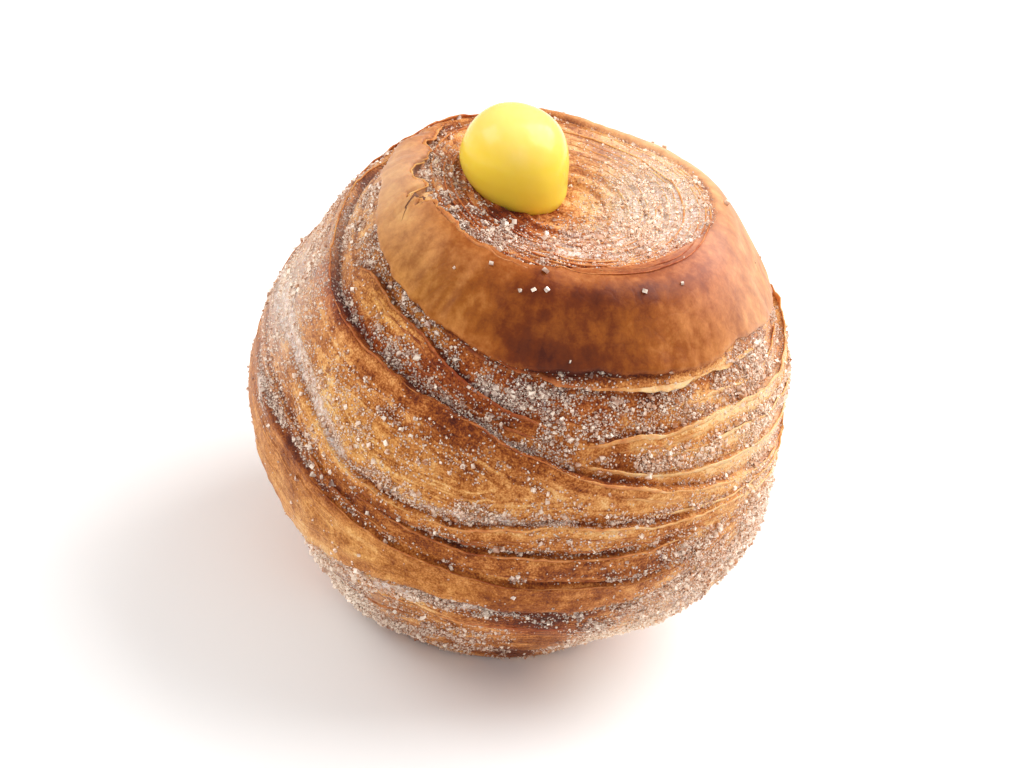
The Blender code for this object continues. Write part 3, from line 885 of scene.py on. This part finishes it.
LEAF_WIDTH = 0.7
LEAF_LENGTH = 5.0
surface = np.array([vert.co for vert in dough.data.vertices]) / MM
leaf_across = along_leaves(dough_angle, dough_run) / LEAF_WIDTH
for name, kind, field, values in (
    ("bake_and_painted_light", "FLOAT", "value", bake_and_painted_light_at(dough_angle, dough_run)),
    ("blush", "FLOAT", "value", blush_at(dough_angle, dough_run)),
    ("gully", "FLOAT", "value", gully_shade_at(dough_angle, dough_run)),
    ("frost", "FLOAT", "value", dust_at(dough_angle, dough_run)),
    ("bloom_and_painted_light", "FLOAT", "value", patches_at(BLOOM_AND_PAINTED_LIGHT_PATCHES, dough_angle, dough_run)),
    ("skin", "FLOAT", "value", skin_share(dough_angle, dough_run)),
    ("leaf_place", "FLOAT_VECTOR", "vector", np.column_stack([leaf_across, surface[:, :2] / LEAF_LENGTH])),
    ("crack_place", "FLOAT_VECTOR", "vector", crack_place_at(dough_angle, dough_run)),
):
    attribute = dough.data.attributes.new(name, kind, "POINT")
    attribute.data.foreach_set(field, values.astype(np.float32).ravel())

# ---------------------------------------------------------------------------------------------------
# The thin leaves: where butter has parted the layers, single leaves of dough stand free at the lips,
# the torn rim and the coils in the crater. They are 0.2 mm thick, crisp, and ragged along their edge.

LEAF_THICKNESS = 0.2
LEAF_ROOT = 0.5
LEAF_STEP = 0.6
LEAF_BLUSH = 0.35

# Each stretch: the edge that it follows, from which angle to which, how far it lies across that edge,
# how far it stands up along the dough, how far it curls out, and how much darker its edge is; below 0
# its edge is paler, a painted highlight.
LIP_LEAVES = (
    ("rim", 148, 262, 0.15, 0.7, 0.15, -0.1), ("under_collar", 262, 345, 0.4, 0.8, 0.35, -0.1),
    ("collar", 250, 300, -0.9, 0.5, 0.15, -0.05), ("second_lip", 288, 420, 0.5, 0.8, 0.5, -0.06),
    ("second_lip", 296, 400, 1.6, 0.5, 0.3, 0.0), ("thin_lip", 286, 430, 0.5, 0.7, 0.5, -0.06),
    ("thin_lip", 300, 400, -0.9, 0.5, 0.1, -0.05), ("main_lip", 280, 410, 0.5, 0.7, 0.4, -0.12),
    ("main_lip", 296, 400, 1.7, 0.5, 0.3, 0.0), ("main_lip", 160, 284, 0.5, 0.25, 0.2, -0.08),
    ("second_lip", 585, 720, 0.5, 0.45, 0.35, -0.05), ("second_lip", 590, 690, 1.8, 0.3, 0.2, 0.1),
    ("low_lip", 236, 318, 0.5, 0.4, 0.3, -0.05), ("heel_lip", 228, 318, 0.5, 0.3, 0.3, 0.0),
    ("flap", 212, 280, 0.5, 0.5, 0.4, -0.05), ("flap", 222, 262, 1.5, 0.3, 0.2, 0.05),
    ("second_lip", 420, 505, 0.5, 0.6, 0.4, -0.1), ("heel_lip", 62, 190, 0.5, 0.5, 0.3, 0.0),
    ("main_lip", 104, 160, 0.5, 0.6, 0.4, 0.0), ("thin_lip", 430, 515, 0.5, 0.6, 0.4, -0.1),
    ("right_leaf_a", 302, 405, 0.4, 0.6, 0.3, -0.1), ("right_leaf_b", 308, 425, 0.4, 0.6, 0.3, -0.1),
    ("right_leaf_c", 304, 378, 0.4, 0.5, 0.3, -0.1), ("lens", 236, 310, 0.4, 0.3, 0.2, 0.1),
    ("band_crack", 270, 316, 0.3, 0.3, 0.2, 0.05), ("left_leaf_c", 215, 260, 0.4, 0.3, 0.2, 0.0),
    ("flap_leaf", 242, 288, 0.4, 0.4, 0.2, 0.0), ("back_leaf_a", 24, 182, 0.4, 0.6, 0.3, 0.0),
    ("back_leaf_b", 112, 172, 0.4, 0.6, 0.3, 0.0), ("back_leaf_c", 14, 166, 0.4, 0.6, 0.3, 0.0),
    ("foot_leaf_a", 228, 298, 0.4, 0.4, 0.2, 0.0), ("foot_leaf_b", 184, 286, 0.4, 0.4, 0.2, 0.0),
)
# The coils' leaves: how many turns, how far round each goes and how far round the next one starts, how
# far they stand up and lean, the side where they stand highest, and how clear they stay of the custard.
COIL_TURNS = 12
COIL_SPAN = 345.0
COIL_NEXT = 137.0
COIL_STAND = 0.34
COIL_LEAN = 0.12
COIL_SIDE = 215.0
COIL_CLEARANCE = 1.2
COILS_END = -0.8
SHORTEST_COIL = 12


def leaf_frame(angle, run):
    """The directions down along the dough and out of it, at each angle and run."""
    radius, height = outline_at(run)
    ahead_radius, ahead_height = outline_at(run + 0.5)
    down = np.array([ahead_radius - radius, ahead_height - height])
    down /= np.hypot(*down)
    x, y = on_circle(angle, 1.0)
    along = np.column_stack([down[0] * x, down[0] * y, down[1]])
    outward = np.column_stack([-down[1] * x, -down[1] * y, down[0]])
    return along, outward


def add_leaf(bm, angle, run, up, out, seed, darker):
    """A ragged thin strip along the way, which stands up and curls out by the given directions."""
    root = dough_points(angle % 360.0, run)
    spread = np.arange(len(angle)) * LEAF_STEP
    share = np.linspace(0.0, 1.0, len(angle))
    taper = held(np.minimum(share, 1.0 - share) * 8.0) ** 0.6
    level = seed * 1.3
    ragged = 0.75 + 0.45 * rough(spread / 3.1, level, 0.5) + 0.35 * rough(spread / 1.1, level, 7.5)
    ragged *= np.clip(1.1 + 3.0 * rough(spread / 7.0, level, 3.5), 0.10, 1.0)
    stand = (taper * np.clip(ragged, 0.05, 1.4))[:, None]
    bake_and_painted_light = bake_and_painted_light_at(angle % 360.0, run)
    blush = blush_at(angle % 360.0, run)
    strip = bmesh.ops.create_grid(bm, x_segments=len(angle) - 1, y_segments=3, size=0.5)["verts"]
    for vert in strip:
        step = int(round((vert.co.x + 0.5) * (len(angle) - 1)))
        high = vert.co.y + 0.5
        lean = up[step] * (high * stand[step]) + out[step] * (high**1.6 * stand[step])
        vert.co = Vector((root[step] + lean - (1.0 - high) * LEAF_ROOT * up[step] / 2.0) * MM)
        # Up to its edge the leaf grows darker by darker; where that is below 0 it grows paler, a painted
        # highlight.
        vert[bake_and_painted_light_layer] = bake_and_painted_light[step] + high * darker
        vert[blush_layer] = blush[step] + LEAF_BLUSH


bm = bmesh.new()
bake_and_painted_light_layer = bm.verts.layers.float.new("bake_and_painted_light")
blush_layer = bm.verts.layers.float.new("blush")
edges_of = {name: edges for edges in (EDGES, LEAVES) for name in edges}
for seed, (name, start, end, offset, reach, curl, darker) in enumerate(LIP_LEAVES):
    side, _, knots = edges_of[name][name]
    length = np.radians(end - start) * outline_at(np.array([knots[len(knots) // 2][1]]))[0][0]
    turned = np.linspace(start, end, max(int(length / LEAF_STEP), 8))
    run = way_at(edges_of[name], name, turned) + side * offset
    along, outward = leaf_frame(turned % 360.0, run)
    add_leaf(bm, turned % 360.0, run, -side * reach * along, curl * outward, seed, darker)
# The coils' edges in the crater, each turn a leaf's breadth further out, and none through the custard.
for turn in range(COIL_TURNS):
    start = COIL_NEXT * turn
    angle = np.arange(start, start + COIL_SPAN, np.degrees(LEAF_STEP / (RING_START + turn)))
    run = RING_START + RING_PITCH * (turn + angle / 360.0 - start // 360.0) - RIM_RADIUS
    for _ in range(3):
        off_ring = (ring_phase(angle, run) + 0.5) % 1.0 - 0.5
        run = run - RING_PITCH * off_ring
    x, y = on_circle(angle, run + RIM_RADIUS)
    from_custard = np.hypot(x - CUSTARD_CENTRE[0], y - CUSTARD_CENTRE[1])
    clear = from_custard > CUSTARD_HALF_WIDTH + COIL_CLEARANCE
    ends = np.flatnonzero(np.diff(np.concatenate([[0], clear.astype(int), [0]])))
    for first, last in zip(ends[::2], ends[1::2]):
        if last - first > SHORTEST_COIL and run[first:last].max() < COILS_END:
            stretch = angle[first:last] % 360.0
            near = np.cos(np.radians(angle[first:last] - COIL_SIDE))[:, None].clip(0.0, 1.0)
            along, outward = leaf_frame(stretch, run[first:last])
            up = COIL_STAND * (0.45 + 0.55 * near) * outward
            add_leaf(bm, stretch, run[first:last], up, COIL_LEAN * along, 60 + turn, 0.0)
bmesh.ops.recalc_face_normals(bm, faces=bm.faces[:])
bmesh.ops.solidify(bm, geom=bm.faces[:], thickness=LEAF_THICKNESS * MM)

# A baked leaf of dough: thin and crisp, paler than the crust that it stands on, and light passes through.
leaf, tree, shader = new_material("thin_baked_dough_leaf")
place = add_node("TexCoord", output="Object")
bake_and_painted_light, blush = (add_node("Attribute", output="Fac", attribute_name=name) for name in ("bake_and_painted_light", "blush"))
clouds = add_node("TexNoise", {"Vector": place, "Scale": pitch(3.03), "Detail": 4.0, "Roughness": 0.7})
crinkle = add_node("TexNoise", {"Vector": place, "Scale": pitch(0.625), "Detail": 2.0})
set_inputs(shader, {
    "Base Color": baked_tone(swing(bake_and_painted_light, clouds, 1.1, 0.52), blush),
    "Roughness": 0.5,
    "IOR": 1.45,
    "Specular IOR Level": 0.35,
    "Subsurface Weight": 0.3,
    "Subsurface Radius": (1.0, 0.5, 0.2),
    "Subsurface Scale": 1.0 * MM,
    "Normal": add_node("Bump", {"Strength": 0.5, "Distance": 0.2 * MM, "Height": crinkle}),
})
leaves = finished("dough_leaves", bm, leaf)

# ---------------------------------------------------------------------------------------------------
# The custard: pastry cream piped in from above until a dollop stands in the crater, smooth and moist,
# as it left the nozzle, its foot in the well that it has pressed for itself.

CUSTARD_RISE = 8.9
CUSTARD_TO_LEFT = 0.45
CUSTARD_LEAN = 1.0
CUSTARD_FOOT = 2.2
CUSTARD_TAPER = 0.08
CUSTARD_BELLY = 0.10
CUSTARD_UNEVEN = 0.03
# The powers of its rounded outline: fuller below its widest level than above it.
FULL_BELOW = 3.0
FULL_ABOVE = 2.5

bm = bmesh.new()
bmesh.ops.create_uvsphere(bm, u_segments=96, v_segments=64, radius=1.0)
for vert in bm.verts:
    level = vert.co.z
    below = max(-level, 0.0)
    power, reach = (FULL_BELOW, CUSTARD_DROP) if level < 0.0 else (FULL_ABOVE, CUSTARD_RISE)
    share = max(np.hypot(vert.co.x, vert.co.y), 1e-6)
    swell = (1.0 - min(abs(level), 1.0) ** power) ** (1.0 / power) / share * (1.0 - CUSTARD_TAPER * below)
    lean = CUSTARD_TO_LEFT + CUSTARD_LEAN * max(level + 0.5, 0.0) - CUSTARD_FOOT * below**2
    belly = CUSTARD_BELLY * max(-vert.co.x / share, 0.0) * bell(level + 0.15, 0.5)
    lump = float(rough(vert.co.x * 1.6 + 4.0, vert.co.y * 1.6 + 4.0, level * 1.4 + 4.0))
    swell *= 1.0 + CUSTARD_UNEVEN * lump
    vert.co = (
        (CUSTARD_CENTRE[0] - lean + (vert.co.x * swell - belly) * CUSTARD_HALF_WIDTH) * MM,
        (CUSTARD_CENTRE[1] + vert.co.y * swell * CUSTARD_HALF_WIDTH) * MM,
        (CUSTARD_CENTRE[2] + level * reach) * MM,
    )
# Set pastry cream: egg yolk yellow, light passes a little way into it, and its skin is moist. It is
# paler towards the top, from 78 mm up and over 14 mm.
CREAM_TONES = ("#F5D548", "#F8D880")
PALER_FROM = 77.857
PALER_OVER = 14.286
cream, tree, shader = new_material("set_pastry_cream")
place = add_node("TexCoord", output="Object")
clouds = add_node("TexNoise", {"Vector": place, "Scale": pitch(7.692), "Detail": 3.0})
ripple = add_node("TexNoise", {"Vector": place, "Scale": pitch(3.846), "Detail": 2.0})
height = add_node("SeparateXYZ", {"Vector": place}, output="Z")
paler = added(-PALER_FROM / PALER_OVER, (height, pitch(PALER_OVER)), (clouds, 0.5))
cream_tone = add_node("ValToRGB", {"Fac": paler})
ramp = cream_tone.node.color_ramp
ramp.elements[0].position = 0.5
ramp.elements[0].color = linear(CREAM_TONES[0])
ramp.elements[1].color = linear(CREAM_TONES[1])
set_inputs(shader, {
    "Base Color": cream_tone,
    "Roughness": 0.2,
    "IOR": 1.42,
    "Specular IOR Level": 0.38,
    "Subsurface Weight": 0.55,
    "Subsurface Radius": (1.0, 0.7, 0.2),
    "Subsurface Scale": 3.0 * MM,
    "Normal": add_node("Bump", {"Strength": 0.25, "Distance": 0.4 * MM, "Height": ripple}),
})
custard = finished("pastry_cream", bm, cream)
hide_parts("custard")

# ---------------------------------------------------------------------------------------------------
# The sugar: white crystals, small glassy blocks and grains of 0.2 to 0.9 mm, that the warm cruffin was
# rolled in. They lie thick in the gullies, the crater and the foot, and hardly stick to the collar.

# Crystal sugar with flat shining faces that shine white where they catch the light. Its colour is painted
# half
# clear: each crystal mixes white with the brown of the dough behind it, as if seen through it, and its
# corners are whiter or browner at random, painted glints and shade.
crystal, tree, shader = new_material("coarse_sugar_crystals")
whiteness, bake_and_painted_light, blush = (
    add_node("Attribute", output="Fac", attribute_name=name) for name in ("whiteness", "bake_and_painted_light", "blush")
)
sugar_tone = add_node(
    "Mix", {"Factor": whiteness, "A": baked_tone(bake_and_painted_light, blush), "B": linear("#FFEDD9")},
    output="Result", data_type="RGBA",
)
set_inputs(shader, {"Base Color": sugar_tone, "Roughness": 0.12, "IOR": 1.54, "Specular IOR Level": 0.5})

# The crystals that lie alone on the smooth collar: angle, run and size.
STRAY_CRYSTALS = (
    (250.0, 1.75, 0.8), (268.5, 0.0, 0.9), (262.5, 4.0, 0.6), (266.5, 3.3, 0.8), (270.5, 2.8, 0.7),
    (305.0, 1.8, 0.7), (321.0, 2.0, 0.5), (281.0, 12.5, 0.4), (256.0, 14.0, 0.5), (240.0, 5.0, 0.4),
    (20.0, 2.0, 0.8), (60.0, 3.0, 0.7), (66.0, 5.0, 0.6), (118.0, 6.0, 0.6), (148.0, 4.0, 0.6),
)
# The sizes in millimetres: the middle one's logarithm, how they spread, the smallest and the largest.
CRYSTAL_SIZES = (-0.55, 0.18, 0.45, 0.95)
GRAIN_SIZES = (-1.1, 0.25, 0.2, 0.55)
# The custard stays clear of sugar, and so does the sheet that the foot stands on.
CUSTARD_CLEARANCE = 0.5
CRATER_LEVEL = 65.0
FOOT_CLEARANCE = 0.9
# How white the crystals are: the middle, how they differ, and how the corners of each one differ, which
# paints glints and shaded faces on each crystal.
WHITENESS = (0.48, 0.22, 0.42)
# How much less white the crystals are in the gullies: painted shade.
CRYSTAL_GULLY_SHADE = 0.16
WIDEST_RADIUS = 43.0


def crystal_block():
    """A cube, the shape of the large crystals."""
    block = bmesh.new()
    bmesh.ops.create_cube(block, size=1.0)
    return block


def crystal_grain():
    """A double pyramid of eight faces, the shape of the small grains."""
    block = bmesh.new()
    bmesh.ops.create_uvsphere(block, u_segments=4, v_segments=2, radius=0.62)
    return block


def lay_sugar(name, block, angle, run, size, lift, rng):
    """One piece of many crystals of the block's shape, each turned and cut its own way."""
    base = dough_points(angle, run)
    ahead = dough_points(angle, run + 0.4)
    aside = dough_points(angle + 0.6, run)
    normal = np.cross(aside - base, base - ahead)
    normal /= np.maximum(np.linalg.norm(normal, axis=1, keepdims=True), 1e-9)
    middle = base + normal * lift[:, None]
    from_custard = np.hypot(middle[:, 0] - CUSTARD_CENTRE[0], middle[:, 1] - CUSTARD_CENTRE[1])
    clear = from_custard > CUSTARD_HALF_WIDTH + CUSTARD_CLEARANCE
    clear |= middle[:, 2] < CRATER_LEVEL
    clear &= middle[:, 2] > size * FOOT_CLEARANCE
    angle, run, size, middle = angle[clear], run[clear], size[clear], middle[clear]
    count = len(size)
    turn = rng.normal(size=(count, 4))
    turn /= np.linalg.norm(turn, axis=1, keepdims=True)
    w, i, j, k = turn.T
    rotation = np.array(
        [
            [1 - 2 * (j * j + k * k), 2 * (i * j - k * w), 2 * (i * k + j * w)],
            [2 * (i * j + k * w), 1 - 2 * (i * i + k * k), 2 * (j * k - i * w)],
            [2 * (i * k - j * w), 2 * (j * k + i * w), 1 - 2 * (i * i + j * j)],
        ]
    ).transpose(2, 0, 1)
    corners = np.array([vert.co for vert in block.verts])
    one = bpy.data.meshes.new(name + "_one")
    block.to_mesh(one)
    block.free()
    piece = bpy.data.objects.new(name, one)
    scene.collection.objects.link(piece)
    many = piece.modifiers.new("many", "ARRAY")
    many.count = count
    many.use_relative_offset = False
    mesh = bpy.data.meshes.new_from_object(piece.evaluated_get(bpy.context.evaluated_depsgraph_get()))
    piece.modifiers.remove(many)
    piece.data = mesh
    bpy.data.meshes.remove(one)
    shape = size[:, None] * rng.uniform(0.7, 1.2, (count, 3))
    cut = corners[None] * shape[:, None, :] * rng.uniform(0.75, 1.0, (count, len(corners), 1))
    points = np.einsum("nij,nkj->nki", rotation, cut) + middle[:, None, :]
    mesh.vertices.foreach_set("co", (points * MM).astype(np.float32).ravel())
    mesh.materials.append(crystal)
    gully = gully_shade_at(angle, run)
    white = rng.normal(*WHITENESS[:2], (count, 1))
    # Whiter where the bloom and painted light lie, less white by the gullies' painted shade.
    white = white + (patches_at(BLOOM_AND_PAINTED_LIGHT_PATCHES, angle, run) - CRYSTAL_GULLY_SHADE * gully)[:, None]
    # Each corner differs at random: painted glints and shaded faces.
    white = white + rng.normal(0.0, WHITENESS[2], (count, len(corners)))
    # The dough's tone painted in as seen through each crystal, darkened by the gullies' painted shade.
    behind = bake_and_painted_light_at(angle, run) + 0.25 * gully + 0.12
    for attribute, values in (
        ("whiteness", np.clip(white, 0.02, 1.0)),
        ("bake_and_painted_light", np.repeat(behind[:, None], len(corners), axis=1)),
        ("blush", np.repeat(blush_at(angle, run)[:, None], len(corners), axis=1)),
    ):
        made = mesh.attributes.new(attribute, "FLOAT", "POINT")
        made.data.foreach_set("value", values.astype(np.float32).ravel())
    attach(piece, "root")


def scattered(candidates, lowest, highest, sizes, rng):
    """Angle, run, size and lift of crystals that lie as thick as the sugar does between two runs."""
    angle = rng.uniform(0.0, 360.0, candidates)
    run = rng.uniform(lowest, highest, candidates)
    wanted = sugar_at(angle, run)
    clustered = 0.60 + 1.2 * rough(angle / 2.2, run / 1.3, np.full_like(run, 0.5))
    clustered = np.clip(clustered, 0.04, 1.2) * outline_at(run)[0] / WIDEST_RADIUS
    keep = rng.uniform(0.0, 1.0, candidates) < wanted**1.2 * clustered
    angle, run, wanted = angle[keep], run[keep], wanted[keep]
    mean, spread, smallest, largest = sizes
    size = np.clip(rng.lognormal(mean, spread, len(run)), smallest, largest)
    lift = size * rng.uniform(-0.1, 0.3, len(run)) + wanted**2 * rng.uniform(0.0, 0.3, len(run))
    return angle, run, size, lift


# The small grains, from the crater down: how many are tried, from which run to which, and the seed.
for name, candidates, lowest, highest, seed in (
    ("crater_sugar", 210000, -24.0, -0.5, 21),
    ("upper_sugar", 190000, -0.5, 34.0, 22),
    ("middle_sugar", 160000, 34.0, 60.0, 23),
    ("foot_sugar", 136000, 60.0, 87.5, 24),
):
    rng = np.random.default_rng(seed)
    angle, run, size, lift = scattered(candidates, lowest, highest, GRAIN_SIZES, rng)
    lay_sugar(name, crystal_grain(), angle, run, size, lift, rng)

# The large crystals, with those that lie alone.
rng = np.random.default_rng(25)
angle, run, size, lift = scattered(44000, -24.0, 87.5, CRYSTAL_SIZES, rng)
stray = np.array(STRAY_CRYSTALS).T
angle, run, size = (np.concatenate(pair) for pair in zip((angle, run, size), stray))
lift = np.concatenate([lift, 0.3 * stray[2]])
lay_sugar("large_sugar", crystal_block(), angle, run, size, lift, rng)
